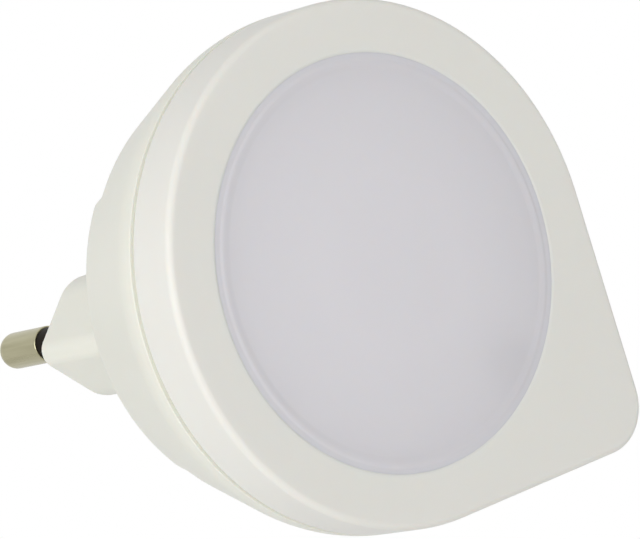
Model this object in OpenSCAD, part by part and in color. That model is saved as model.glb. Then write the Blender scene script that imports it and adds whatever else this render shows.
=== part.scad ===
// Plug-in night light with a dusk sensor.
// A round casing with one square corner carries an opal lens in front and a flat two-pin plug behind.
// The origin is the centre of the plug's pin face. +Y points into the socket, +Z is up.

/* [Casing] */
// Diameter of the round part of the casing
body_d = 54.5; // [53:0.5:62]
// Radius that rounds the square corner, in front view
corner_r = 5.4; // [3.5:0.1:9]
// Wall of both shells
wall = 1.6; // [1.4:0.1:1.9]
// Radius along the front edge
front_edge_r = 0.8; // [0.3:0.1:1.4]
// Depth from the front plane to the joint between the shells
seam_depth = 6.3; // [5.8:0.1:8]
// Width of the groove along the joint
seam_gap = 0.35; // [0.2:0.05:0.6]
// Depth of the groove along the joint
seam_groove = 0.6; // [0.3:0.1:0.8]
// Straight wall of the rear shell, behind the joint
straight_depth = 2; // [1.8:0.1:4]
// Slope of the rear shell's sides
taper = 20.5; // [16:0.5:22]
// Radius that softens the start of that slope
taper_r = 8; // [4:0.5:9]
// Depth of the rear shell behind the joint, without the raised band
rear_depth = 13.2; // [13:0.1:16]
// How far the raised band stands behind the rest of the back
band_rise = 2.5; // [1:0.1:2.7]
// Height of the raised band where it starts
band_h = 29.2; // [27:0.2:31]
// How far each side of the band leans in over its rise
band_lean = 0.7; // [0.2:0.1:1.2]

/* [Lens] */
// Width of the bezel's face, from the lens's rim to the casing's edge
bezel_w = 5.55; // [5.25:0.05:6.75]
// How far the lens stands in front of the bezel at its rim
lens_stand = 0.2; // [0.2:0.05:0.6]
// Extra height of the lens at its centre
lens_crown = 0.5; // [0.2:0.1:1.2]
// Radius along the lens's rim
lens_edge_r = 0.6; // [0.5:0.1:1]
// Thickness of the lens's plate
lens_plate = 1.5; // [1.3:0.1:1.8]
// Width of the lens's hidden flange
flange_w = 1.7; // [1.2:0.1:1.8]
// Thickness of that flange
flange_t = 1; // [0.8:0.1:1.4]
// Thickness of the bezel's front
bezel_t = 1.8; // [1.4:0.1:2.2]

/* [Plug] */
// Length of the plug's neck, from the raised band to the pin face
neck_l = 16; // [14:0.2:20]
// Width of the neck over its two rounded tips
neck_w = 35.4; // [34.6:0.1:36]
// Height of the neck
neck_h = 13.1; // [13:0.1:14]
// Radius of the neck's two tips
tip_r = 3; // [2.6:0.1:4]
// Radius of the neck's four shoulders
shoulder_r = 4.6; // [3:0.1:5]
// Wall of the hollow neck
neck_wall = 2; // [1.6:0.1:2.2]
// Thickness of the pin face
face_t = 2.6; // [2:0.1:4]
// Distance between the two pins' centres
pin_pitch = 19; // [18:0.1:19.5]
// Diameter of a pin
pin_d = 4; // [3.8:0.05:4.1]
// Length of a pin outside the pin face
pin_l = 18.6; // [18:0.1:19.5]
// Length of the insulating sleeve outside the pin face
sleeve_l = 10.7; // [9.5:0.1:11]
// Diameter of the pin's core under the sleeve
core_d = 3; // [2.8:0.05:3.2]
// Diameter of the sleeve, a little under the pin's
sleeve_d = 3.65; // [3.4:0.05:3.7]
// Radius at the pin's tip
pin_tip_r = 1.5; // [0.8:0.1:1.6]

/* [Light engine] */
// Depth from the front plane to the circuit board's front
board_depth = 11.2; // [10.8:0.1:12]
// Thickness of the circuit board
board_t = 1.2; // [1:0.1:1.6]
// Number of light-emitting chips
chip_count = 6; // [4:1:8]
// Distance of the chips' circle from the tray's wall
chip_inset = 8.9; // [7.9:0.1:10.9]
// Space under the tray's floor for the screw heads
tray_space = 2; // [1.8:0.1:2.4]
// Thickness of the tray's floor and wall
tray_t = 0.9; // [0.7:0.1:1]
// Diameter of the tray's windows over the chips
window_d = 5.6; // [5:0.1:6.4]
// Distance of the dusk sensor's centre from the tray's wall, in the casing's corner
sensor_inset = 2; // [2:0.1:3]
// Diameter of the dusk sensor
sensor_d = 3; // [2.6:0.1:3]
// Outer diameter of the sensor's shade tube
shade_d = 3.8; // [3.6:0.1:4]
// Distance of the board's screws from the tray's wall
boss_inset = 3.6; // [3:0.1:4.4]
// Diameter of a screw boss
boss_d = 5.4; // [4.6:0.1:5.8]

/* [Hidden] */
$fn = 96;

// Clearances: round pieces in their holes, loose pieces in their seats, latches and press fits
hole_gap = 0.05;
seat_gap = 0.2;
latch_gap = 0.2;
press_gap = 0.02;
// More than any size of the part, for cuts that go right through, and a small overrun for cuts
far = 80;
over = 1;

// Depths behind the front plane
band_depth = seam_depth + rear_depth + band_rise;
step_depth = seam_depth + rear_depth;
face_depth = band_depth + neck_l;
taper_start = seam_depth + straight_depth;
board_back = board_depth + board_t;

// Radii of the round part, at the outside and inside of the walls
body_r = body_d / 2;
inner_r = body_r - wall;
slope_wall = wall / cos(taper);
function outer_at(depth) = body_r - (depth - taper_start) * tan(taper);
function inner_at(depth) = min(inner_r, outer_at(depth) - slope_wall);
back_r = outer_at(band_depth);

// Centres of the corner's rounding, outside and inside, each on the diagonal at this x and this y
least_corner_r = 0.3;
corner_c = min(body_r - corner_r, back_r - least_corner_r);
inner_corner_c = inner_at(band_depth - wall) - least_corner_r;

// Points along an arc, from angle a to angle b
function arc(cx, cy, r, a, b, n) = [for (i = [0:n])
    let (t = a + (b - a) * i / n) [cx + r * cos(t), cy + r * sin(t)]];

// Puts pieces drawn with x to the right, y down and z as depth behind the front plane into place
module from_front() {
    translate([0, -face_depth, 0]) rotate([-90, 0, 0]) children();
}

// Carries a profile, x from the axis and y as depth, round the casing's outline
module round_outline(c) {
    rotate([0, 0, 90]) rotate_extrude(angle = 270) children();
    translate([0, c, 0]) rotate([90, 0, 0]) linear_extrude(c) children();
    rotate([90, 0, 90]) linear_extrude(c) children();
    translate([c, c, 0]) rotate_extrude(angle = 90) intersection() {
        translate([-c, 0]) children();
        translate([0, -far]) square([far, 2 * far]);
    }
}

// A block with its middle at the place, to add or to cut away
module block_at(size, place) {
    translate(place) cube(size, center = true);
}

// ---------------------------------------------------------------- latches that join the shells

arm_w = 6;
arm_t = 1.1;
arm_reach = 2.4;
nib_h = 1.2;
nib_out = 0.65;
arm_out_r = inner_r - latch_gap;
arm_end = seam_depth + arm_reach;
LATCHES = [0, 90, 180, 270];

// Arms on the bezel, each with a nib at its end that snaps into the rear shell's wall
module latch_arms() {
    for (a = LATCHES) rotate([0, 0, a]) {
        translate([arm_out_r - arm_t, -arm_w / 2, bezel_t - over])
            cube([arm_t, arm_w, arm_end - bezel_t + over]);
        translate([arm_out_r - arm_t, -arm_w / 2, arm_end - nib_h]) cube([arm_t + nib_out, arm_w, nib_h]);
    }
}

// Room for the arms in the rear shell's lip and wall
module latch_pockets() {
    pocket_w = arm_w + 2 * latch_gap;
    for (a = LATCHES) rotate([0, 0, a]) {
        translate([arm_out_r - arm_t - latch_gap, -pocket_w / 2, lip_front - over])
            cube([arm_t + latch_gap + latch_gap, pocket_w, arm_end + latch_gap - lip_front + over]);
        translate([arm_out_r - arm_t, -pocket_w / 2, arm_end - nib_h - hole_gap])
            cube([arm_t + nib_out + latch_gap, pocket_w, nib_h + latch_gap]);
    }
}

// A lip on the rear shell that lines the shells up
lip_t = 0.8;
lip_l = 1.5;
lip_front = seam_depth - lip_l;
lip_gap = 0.12;

// A peg and a post in the square corner
post_d = 4.4;
peg_d = 2.4;
post_gap = 0.3;
post_c = inner_at(step_depth - wall) - post_d / 2;

// ---------------------------------------------------------------- front bezel

ring_t = 0.8;
ring_h = 1.4;
hole_edge_r = 0.3;
lens_gap = 0.1;
lens_r = body_r - bezel_w;
hole_r = lens_r + lens_gap;
flange_r = lens_r + flange_w;

// The bezel's outside, solid to the axis: front plane, rounded edge, side wall, groove along the joint
module bezel_profile() {
    polygon(concat(
        [[0, seam_depth], [0, 0]],
        arc(body_r - front_edge_r, front_edge_r, front_edge_r, -90, 0, 6),
        [[body_r, seam_depth - seam_gap], [body_r - seam_groove, seam_depth - seam_gap],
            [body_r - seam_groove, seam_depth]]));
}

// The room behind the bezel's front
module bezel_hollow() {
    polygon([[0, bezel_t], [inner_r, bezel_t], [inner_r, seam_depth + over], [0, seam_depth + over]]);
}

// The hole for the lens, with a softened front edge
module lens_hole() {
    rotate_extrude() polygon(concat(
        [[0, bezel_t + over], [0, -over], [hole_r + hole_edge_r, -over]],
        arc(hole_r + hole_edge_r, hole_edge_r, hole_edge_r, 270, 180, 4),
        [[hole_r, bezel_t + over]]));
}

// The front shell with its lens hole, locating ring, latch arms and the peg in its square corner
module front_bezel() color("ivory") from_front() {
    difference() {
        union() {
            difference() {
                round_outline(corner_c) bezel_profile();
                round_outline(inner_corner_c) bezel_hollow();
            }
            locating_ring();
            latch_arms();
            translate([post_c, post_c, bezel_t - over])
                cylinder(d = peg_d, h = seam_depth + arm_reach - bezel_t + over);
        }
        lens_hole();
    }
}

// Ring that centres the lens's flange, open where the latch arms stand
module locating_ring() {
    difference() {
        translate([0, 0, bezel_t - over]) cylinder(r = flange_r + lens_gap + ring_t, h = ring_h + over);
        translate([0, 0, bezel_t - 2 * over]) cylinder(r = flange_r + lens_gap, h = ring_h + 3 * over);
        for (a = LATCHES) rotate([0, 0, a])
            block_at([far, arm_w + 2 * ring_t, far], [far / 2, 0, 0]);
    }
}

// ---------------------------------------------------------------- lens

// Radius of the sphere whose cap has the lens's crown
flat_r = lens_r - lens_edge_r;
crown_r = (flat_r * flat_r + lens_crown * lens_crown) / (2 * lens_crown);
crown_turn = asin(flat_r / crown_r);
rim_depth = lens_edge_r - lens_stand;
lens_back = lens_plate - lens_stand;
flange_back = bezel_t + flange_t;
rim_wall = 0.8;
cup_r = lens_r - rim_wall;

// A crowned disc with a rounded rim, a short wall and the flange that the tray presses on the bezel
module lens() color("lavender") from_front() {
    rotate_extrude() polygon(concat(
        arc(0, crown_r - lens_stand - lens_crown, crown_r, -90, -90 + crown_turn, 8),
        arc(flat_r, rim_depth, lens_edge_r, -90, 0, 8),
        [[lens_r, bezel_t], [flange_r, bezel_t], [flange_r, flange_back],
            [cup_r, flange_back], [cup_r, lens_back], [0, lens_back]]));
}

// ---------------------------------------------------------------- reflector tray

tray_r = cup_r + tray_t;
floor_back = board_depth - tray_space;
shade_gap = 0.15;
sensor_xy = (cup_r - sensor_inset) / sqrt(2);

// Places on the circle of chips
module chip_places() {
    for (i = [0:chip_count - 1]) rotate([0, 0, (i + 0.5) * 360 / chip_count])
        translate([cup_r - chip_inset, 0, 0]) children();
}

// A tray between the lens's flange and the board, with a window over each chip and one for the shade
module reflector_tray() color("whitesmoke") from_front() {
    difference() {
        translate([0, 0, flange_back]) cylinder(r = tray_r, h = board_depth - flange_back);
        translate([0, 0, flange_back - over])
            cylinder(r = cup_r, h = floor_back - tray_t - flange_back + over);
        translate([0, 0, floor_back]) cylinder(r = cup_r, h = tray_space + over);
        chip_places() translate([0, 0, floor_back - tray_t - over])
            cylinder(d = window_d, h = tray_t + 2 * over);
        translate([sensor_xy, sensor_xy, floor_back - tray_t - over])
            cylinder(d = shade_d + 2 * shade_gap, h = tray_t + 2 * over);
    }
}

// ---------------------------------------------------------------- dusk sensor and its shade

shade_clear = 0.4;
shade_front = lens_back + shade_clear;
sensor_sink = 1.2;
sensor_body_l = 3.4;
sensor_rim_t = 0.8;
leg_d = 0.5;
leg_pitch = 1.3;

// A tube that keeps the chips' light off the sensor
module sensor_shade() color("dimgray") from_front() translate([sensor_xy, sensor_xy, 0]) difference() {
    translate([0, 0, shade_front]) cylinder(d = shade_d, h = board_depth - shade_front);
    translate([0, 0, shade_front - over])
        cylinder(d = sensor_d + 2 * hole_gap, h = board_depth - shade_front + 2 * over);
}

// A domed sensor with two legs, sunk in the shade
module dusk_sensor() color("saddlebrown") from_front() translate([sensor_xy, sensor_xy, 0]) {
    dome_r = sensor_d / 2;
    front = shade_front + sensor_sink;
    rotate_extrude() polygon(concat(
        [[0, front + sensor_body_l]],
        [[dome_r, front + sensor_body_l]],
        arc(0, front + dome_r, dome_r, 0, -90, 8)));
    for (s = [-1, 1]) translate([s * leg_pitch / 2, 0, front + sensor_body_l - sensor_rim_t])
        cylinder(d = leg_d, h = board_depth - front - sensor_body_l + sensor_rim_t);
}

// ---------------------------------------------------------------- circuit board and its chips

chip_l = 3.5;
chip_w = 2.8;
chip_t = 0.7;
glow_inset = 0.5;
glow_sink = 0.15;
board_gap = 0.25;
board_r = inner_at(board_back) - board_gap;
screw_d = 2.4;
screw_l = 6;
screw_head_d = 4.2;
screw_head_t = 1.4;
screw_slot = 0.5;
slot_share = 0.6;
boss_floor = 0.8;
boss_reach = cup_r - boss_inset;
BOSSES = [-90, 30, 150];
wire_d = 1.0;
insulation_d = 1.8;
pad_reach = 7;

// Flat chips, each with a sunk face that glows
module light_chips() color("khaki") from_front() chip_places()
    translate([-chip_l / 2, -chip_w / 2, board_depth - chip_t]) difference() {
        cube([chip_l, chip_w, chip_t]);
        translate([glow_inset, glow_inset, -over])
            cube([chip_l - 2 * glow_inset, chip_w - 2 * glow_inset, over + glow_sink]);
    }

// Places of the board's screws
module boss_places() {
    for (a = BOSSES) rotate([0, 0, a]) translate([boss_reach, 0, 0]) children();
}

// A round board with three screw holes and a hole for each lead
module circuit_board() color("white") from_front() difference() {
    translate([0, 0, board_depth]) cylinder(r = board_r, h = board_t);
    boss_places() translate([0, 0, board_depth - over])
        cylinder(d = screw_d + 2 * hole_gap, h = board_t + 2 * over);
    for (s = [-1, 1]) translate([s * pad_reach, 0, board_depth - over])
        cylinder(d = wire_d + 2 * hole_gap, h = board_t + 2 * over);
}

// A round-headed screw with a cross slot, its head's back on z = 0 and its shank along +z
module screw(d, l, head_d, head_t) {
    difference() {
        union() {
            translate([0, 0, -head_t]) cylinder(d = head_d, h = head_t);
            cylinder(d = d, h = l);
        }
        for (turn = [0, 90]) rotate([0, 0, turn])
            block_at([head_d * slot_share, screw_slot, head_t], [0, 0, -head_t]);
    }
}

// Three screws that hold the board on its bosses
module board_screws() color("silver") from_front() boss_places()
    translate([0, 0, board_depth]) screw(screw_d, screw_l, screw_head_d, screw_head_t);

// ---------------------------------------------------------------- parts on the board's back

// Sizes and places on the board are shares of its radius, so that they keep together with it
part_leg_d = 0.6;
leg_foot_d = 0.8;
leg_run = 1.2;
stand_off = 0.2;

// A wire-ended part that lies along x, centred on its place, with its legs bent down to the board
module lying_part(barrel_d, barrel_l) {
    axis_z = board_back + stand_off + barrel_d / 2;
    leg_x = barrel_l / 2 + leg_run;
    translate([-barrel_l / 2, 0, axis_z]) rotate([0, 90, 0]) cylinder(d = barrel_d, h = barrel_l);
    translate([-leg_x, 0, axis_z]) rotate([0, 90, 0]) cylinder(d = part_leg_d, h = 2 * leg_x);
    for (s = [-1, 1]) translate([s * leg_x, 0, board_back])
        cylinder(d = leg_foot_d, h = axis_z - board_back + leg_foot_d / 2);
}

film_l = 0.54 * board_r;
film_w = 0.35 * board_r;
film_h = 5;
film_place = board_r * [-0.35, -0.38];
film_corner = 1;

// A moulded block with cut corners, its middle on the place and its foot on the board
module dropper_capacitor() color("firebrick") from_front()
    translate([film_place[0], film_place[1], board_back]) {
        x = film_l / 2;
        y = film_w / 2;
        c = film_corner;
        linear_extrude(film_h) polygon([[c - x, -y], [x - c, -y], [x, c - y], [x, y - c],
            [x - c, y], [c - x, y], [-x, y - c], [-x, c - y]]);
    }

can_d = 5;
can_l = 0.46 * board_r;
can_place = board_r * [0.06, 0.47];
can_groove = 0.3;
can_groove_at = 1.6;

// A can on its side with a groove near its seal, its two legs bent down to the board
module smoothing_capacitor() color("midnightblue") from_front()
    translate([can_place[0], can_place[1], 0]) {
        r = can_d / 2;
        x = can_l / 2;
        axis_z = board_back + r;
        translate([0, 0, axis_z]) rotate([0, 90, 0]) rotate_extrude() polygon([
            [0, -x], [r, -x], [r, x - can_groove_at - can_groove], [r - can_groove, x - can_groove_at],
            [r, x - can_groove_at + can_groove], [r, x], [0, x]]);
        for (s = [-1, 1]) {
            translate([x - over, s * r / 2, axis_z]) rotate([0, 90, 0])
                cylinder(d = part_leg_d, h = leg_run + over);
            translate([x + leg_run, s * r / 2, board_back])
                cylinder(d = leg_foot_d, h = r + leg_foot_d / 2);
        }
    }

bridge_l = 4.8;
bridge_w = 4;
bridge_h = 2.4;
bridge_foot = 0.5;
bridge_leg_w = 0.8;
bridge_leg_out = 0.9;
bridge_leg_t = 0.4;
bridge_place = board_r * [0.31, -0.3];

// A small moulded block on four bent legs
module bridge_rectifier() color("dimgray") from_front()
    translate([bridge_place[0], bridge_place[1], board_back]) {
        translate([-bridge_l / 2, -bridge_w / 2, bridge_foot])
            cube([bridge_l, bridge_w, bridge_h - bridge_foot]);
        for (sx = [-1, 1], sy = [-1, 1]) translate([sx * bridge_l / 4, sy * bridge_w / 2, 0]) {
            translate([-bridge_leg_w / 2, -bridge_leg_out, 0])
                cube([bridge_leg_w, 2 * bridge_leg_out, bridge_leg_t]);
            block_at([bridge_leg_w, bridge_leg_t, bridge_h / 2], [0, 0, bridge_h / 4]);
        }
    }

fuse_d = 3;
fuse_l = 0.33 * board_r;
fuse_place = board_r * [0.46, -0.53];
bleed_d = 2.3;
bleed_l = 6;
bleed_place = board_r * [0.7, -0.11];
zener_d = 1.9;
zener_l = 3.8;
zener_place = board_r * [-0.6, 0.1];

// The resistor in series with the mains
module fuse_resistor() color("seagreen") from_front()
    translate([fuse_place[0], fuse_place[1], 0]) lying_part(fuse_d, fuse_l);

// The resistor that empties the dropper capacitor
module bleed_resistor() color("tan") from_front()
    translate([bleed_place[0], bleed_place[1], 0]) rotate([0, 0, 90]) lying_part(bleed_d, bleed_l);

// The diode that limits the supply
module zener_diode() color("darkorange") from_front()
    translate([zener_place[0], zener_place[1], 0]) lying_part(zener_d, zener_l);

flat_chip_l = 3.2;
flat_chip_w = 1.6;
flat_chip_t = 0.55;
flat_chip_cap = 0.5;
flat_chip_pitch = 3;

// Three flat resistors in a row between the two leads, with slightly thicker metal ends
module chip_resistors() color("black") from_front()
    for (i = [-1:1]) translate([0, i * flat_chip_pitch, board_back]) {
        block_at([flat_chip_l, flat_chip_w, flat_chip_t], [0, 0, flat_chip_t / 2]);
        for (s = [-1, 1])
            block_at([flat_chip_cap, flat_chip_w, flat_chip_t + stand_off / 2],
                [s * (flat_chip_l - flat_chip_cap) / 2, 0, (flat_chip_t + stand_off / 2) / 2]);
    }

trans_d = 4.6;
trans_h = 4.4;
trans_flat = 1.3;
trans_lift = 1;
trans_pitch = 1.27;
trans_place = board_r * [0.4, 0.19];

// A round body with one flat side, on three legs
module switch_transistor() color("dimgray") from_front()
    translate([trans_place[0], trans_place[1], board_back]) {
        difference() {
            translate([0, 0, trans_lift]) cylinder(d = trans_d, h = trans_h);
            translate([-far / 2, trans_flat, 0]) cube([far, far, far]);
        }
        for (i = [-1:1]) translate([i * trans_pitch, 0, 0])
            cylinder(d = part_leg_d, h = trans_lift + over);
    }

// ---------------------------------------------------------------- pins, sleeves, clamp and leads

pin_r = pin_d / 2;
core_r = core_d / 2;
sleeve_r = sleeve_d / 2;
pin_x = pin_pitch / 2;
pin_end = face_depth + pin_l;
sleeve_end = face_depth + sleeve_l;
boss_wall = 1.6;
pin_boss_l = 6.4;
seat_depth = face_depth - face_t - pin_boss_l;
collar_w = 1.1;
collar_r = pin_r + collar_w;
collar_t = 1.5;
plate_t = 1.2;
tail_l = 2.6;
plate_front = seat_depth - collar_t - plate_t;
tail_end = plate_front - tail_l;
well_gap = 0.15;
well_d = wire_d + 2 * well_gap;
well_l = 2;
clamp_screw_d = 2.4;
clamp_screw_l = 6;
clamp_head_d = 4.2;
clamp_boss_d = 4.8;

// Places a piece drawn on the axis at the left (-1) or right (1) pin
module pin_at(side) {
    from_front() translate([side * pin_x, 0, 0]) children();
}

// A turned pin: solder cup, tail, collar, thin core for the sleeve, and the bare end with a round tip
module turned_pin() {
    well_r = well_d / 2;
    rotate_extrude() polygon(concat(
        [[0, tail_end + well_l], [well_r, tail_end + well_l], [well_r, tail_end], [core_r, tail_end],
            [core_r, seat_depth - collar_t], [collar_r, seat_depth - collar_t], [collar_r, seat_depth],
            [core_r, seat_depth], [core_r, sleeve_end], [pin_r, sleeve_end]],
        arc(pin_r - pin_tip_r, pin_end - pin_tip_r, pin_tip_r, 0, 90, 8),
        [[0, pin_end]]));
}

// The sleeve on the pin's core, from the pin's collar to the bare end
module pin_sleeve() {
    difference() {
        translate([0, 0, seat_depth]) cylinder(r = sleeve_r, h = sleeve_end - seat_depth);
        translate([0, 0, seat_depth - over])
            cylinder(r = core_r + press_gap, h = sleeve_end - seat_depth + 2 * over);
    }
}

module left_pin() color("darkkhaki") pin_at(-1) turned_pin();
module right_pin() color("darkkhaki") pin_at(1) turned_pin();
module left_sleeve() color("black") pin_at(-1) pin_sleeve();
module right_sleeve() color("black") pin_at(1) pin_sleeve();

// The neck's outline, drawn in by inset: two round tips, four round shoulders, 45 degree sides
module neck_outline(inset) {
    tip_x = neck_w / 2 - tip_r;
    side_sum = tip_x + tip_r * sqrt(2);
    shoulder_x = side_sum - neck_h / 2 - shoulder_r * (sqrt(2) - 1);
    shoulder_y = neck_h / 2 - shoulder_r;
    rt = tip_r - inset;
    rs = shoulder_r - inset;
    polygon(concat(
        arc(tip_x, 0, rt, -45, 45, 8),
        arc(shoulder_x, shoulder_y, rs, 45, 90, 4),
        arc(-shoulder_x, shoulder_y, rs, 90, 135, 4),
        arc(-tip_x, 0, rt, 135, 225, 8),
        arc(-shoulder_x, -shoulder_y, rs, 225, 270, 4),
        arc(shoulder_x, -shoulder_y, rs, 270, 315, 4)));
}

// A plate that fills the neck's hollow and holds both collars on their seats
module clamp_plate() color("gainsboro") from_front() difference() {
    translate([0, 0, plate_front]) linear_extrude(plate_t) neck_outline(neck_wall + seat_gap);
    for (s = [-1, 1]) translate([s * pin_x, 0, plate_front - over])
        cylinder(r = core_r + seat_gap, h = plate_t + 2 * over);
    translate([0, 0, plate_front - over])
        cylinder(d = clamp_screw_d + 2 * hole_gap, h = plate_t + 2 * over);
}

// The screw that draws the plate down on the collars
module clamp_screw() color("silver") from_front() translate([0, 0, plate_front])
    screw(clamp_screw_d, clamp_screw_l, clamp_head_d, screw_head_t);

bend_r = 4.5;
bare_l = 0.8;
lead_shift = pin_x - pad_reach;
bend_turn = acos(1 - lead_shift / (2 * bend_r));
bend_l = 2 * bend_r * sin(bend_turn);
bend_foot = board_back + bare_l + (tail_end - board_back - 2 * bare_l - bend_l) / 2;
LEAD_SIDES = 12;

// A tube of one closed skin, through stations of [x, depth, lean], each ring square to the route
module swept_tube(stations, d) {
    rings = len(stations);
    points = [for (s = stations, k = [0:LEAD_SIDES - 1]) let (t = k * 360 / LEAD_SIDES)
        [s[0] + d / 2 * cos(t) * cos(s[2]), d / 2 * sin(t), s[1] - d / 2 * cos(t) * sin(s[2])]];
    first = [for (k = [0:LEAD_SIDES - 1]) k];
    last = [for (k = [LEAD_SIDES - 1:-1:0]) (rings - 1) * LEAD_SIDES + k];
    skin = [for (i = [0:rings - 2], k = [0:LEAD_SIDES - 1]) let (
        a = i * LEAD_SIDES + k,
        b = i * LEAD_SIDES + (k + 1) % LEAD_SIDES)
        each [[a, a + LEAD_SIDES, b + LEAD_SIDES], [a, b + LEAD_SIDES, b]]];
    polyhedron(points, concat([first, last], skin));
}

// An insulated wire from its hole in the board, through an easy S bend, to a pin's solder cup
module lead() {
    steps = 4;
    near_board = [for (i = [0:steps]) let (t = bend_turn * i / steps)
        [pad_reach + bend_r * (1 - cos(t)), bend_foot + bend_r * sin(t), t]];
    near_pin = [for (i = [steps - 1:-1:0]) let (t = bend_turn * i / steps)
        [pin_x - bend_r * (1 - cos(t)), bend_foot + bend_l - bend_r * sin(t), t]];
    swept_tube(concat([[pad_reach, board_back + bare_l, 0]], near_board, near_pin,
        [[pin_x, tail_end - bare_l, 0]]), insulation_d);
    translate([pin_x, 0, tail_end - bare_l - over]) cylinder(d = wire_d, h = bare_l + over + well_l);
    translate([pad_reach, 0, board_depth]) cylinder(d = wire_d, h = board_t + bare_l + over);
}

module right_lead() color("royalblue") from_front() lead();
module left_lead() color("sienna") from_front() mirror([1, 0, 0]) lead();

// ---------------------------------------------------------------- rear shell with the plug's neck

rib_t = 1.2;

// The rear shell's outside, solid to the axis: straight wall, soft bend, sloping side
module rear_profile() {
    bend_back = taper_r * tan(taper / 2);
    polygon(concat(
        [[0, seam_depth], [body_r, seam_depth]],
        arc(body_r - taper_r, taper_start - bend_back, taper_r, 0, taper, 5),
        [[back_r, band_depth], [0, band_depth]]));
}

// The room inside that profile
module rear_hollow() {
    knee = taper_start - (slope_wall - wall) / tan(taper);
    polygon([[0, seam_depth - over], [inner_r, seam_depth - over], [inner_r, knee],
        [inner_at(band_depth - wall), band_depth - wall], [0, band_depth - wall]]);
}

// Everything above and below the raised band and behind the step, drawn in by inset
module beyond_band(inset) {
    half = band_h / 2 - inset;
    back = step_depth - inset;
    lean = band_lean / band_rise;
    for (side = [0, 1]) mirror([0, side, 0]) rotate([90, 0, 90]) linear_extrude(far, center = true)
        polygon([[half, back], [half - lean * (band_rise + over), back + band_rise + over],
            [far, back + band_rise + over], [far, back]]);
}

// The lip's profile: a thin wall that stands forward of the joint, inside the bezel
module lip_profile() {
    r = inner_r - lip_gap;
    polygon([[r - lip_t, lip_front], [r, lip_front], [r, seam_depth], [inner_r + press_gap, seam_depth],
        [inner_r + press_gap, seam_depth + lip_l], [r - lip_t, seam_depth + lip_l / 2]]);
}

// Bosses behind the pin face that seat the pins' collars and take the clamp screw, each on a cross rib
module pin_bosses() {
    h = pin_boss_l + over;
    for (s = [-1, 1]) translate([s * pin_x, 0, seat_depth]) {
        cylinder(r = pin_r + boss_wall, h = h);
        block_at([rib_t, neck_h - neck_wall, h], [0, 0, h / 2]);
    }
    translate([0, 0, seat_depth - collar_t]) {
        cylinder(d = clamp_boss_d, h = h + collar_t);
        block_at([rib_t, neck_h - neck_wall, h], [0, 0, h / 2 + collar_t]);
    }
}

// Bosses for the board's screws
module board_bosses() {
    boss_places() translate([0, 0, board_back])
        cylinder(d = boss_d, h = band_depth - wall / 2 - board_back);
}

// Ribs that stand under the board's edge, between the bosses
module board_rests() {
    rest_l = 4;
    for (a = BOSSES) rotate([0, 0, a + 180 / len(BOSSES)])
        translate([inner_at(board_back) - rest_l, -rib_t / 2, board_back])
            cube([rest_l, rib_t, band_depth - wall / 2 - board_back]);
}

// A post in the square corner that takes the bezel's peg
module corner_post() {
    translate([post_c, post_c, seam_depth]) cylinder(d = post_d, h = step_depth - wall / 2 - seam_depth);
}

// The outside of the rear shell and the neck, as one solid
module rear_solid() {
    difference() {
        round_outline(corner_c) rear_profile();
        beyond_band(0);
    }
    translate([0, 0, band_depth - wall / 2])
        linear_extrude(face_depth - band_depth + wall / 2) neck_outline(0);
}

// The room inside the rear shell and the neck
module rear_room() {
    difference() {
        round_outline(inner_corner_c) rear_hollow();
        beyond_band(wall);
    }
    translate([0, 0, band_depth - wall - over])
        linear_extrude(face_depth - face_t - band_depth + wall + over) neck_outline(neck_wall);
}

// The rear shell with everything moulded inside it, then its pockets and bores
module rear_shell() color("beige") from_front() {
    difference() {
        union() {
            difference() {
                rear_solid();
                rear_room();
            }
            intersection() {
                rear_solid();
                union() {
                    board_bosses();
                    board_rests();
                    corner_post();
                    pin_bosses();
                }
            }
            round_outline(inner_corner_c) lip_profile();
        }
        latch_pockets();
        boss_places() translate([0, 0, board_back - over])
            cylinder(d = screw_d + 2 * hole_gap, h = screw_l - board_t + boss_floor + over);
        translate([post_c, post_c, seam_depth - over])
            cylinder(d = peg_d + 2 * post_gap, h = arm_reach + over + boss_floor);
        for (s = [-1, 1]) translate([s * pin_x, 0, seat_depth - over])
            cylinder(r = pin_r + hole_gap, h = face_depth - seat_depth + 2 * over);
        translate([0, 0, plate_front])
            cylinder(d = clamp_screw_d + 2 * hole_gap, h = clamp_screw_l + boss_floor);
    }
}

front_bezel();
lens();
reflector_tray();
sensor_shade();
dusk_sensor();
light_chips();
circuit_board();
board_screws();
dropper_capacitor();
smoothing_capacitor();
bridge_rectifier();
fuse_resistor();
bleed_resistor();
chip_resistors();
switch_transistor();
zener_diode();
left_lead();
right_lead();
clamp_plate();
clamp_screw();
left_pin();
right_pin();
left_sleeve();
right_sleeve();
rear_shell();
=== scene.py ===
# %% [markdown]
# # A plug-in night light
# This lesson dresses a plug-in night light: a round casing with one square corner, an opal lens with a dusk
# sensor behind it, and a flat two-pin plug. The solids come from the CAD model, so every size is already
# settled, and the main ones are read from its nodes. Blender adds soft edges, finishes, light and a camera.

# %% Load the frame
import math
import bmesh
import bpy
import numpy as np
from mathutils import Matrix, Vector


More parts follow.
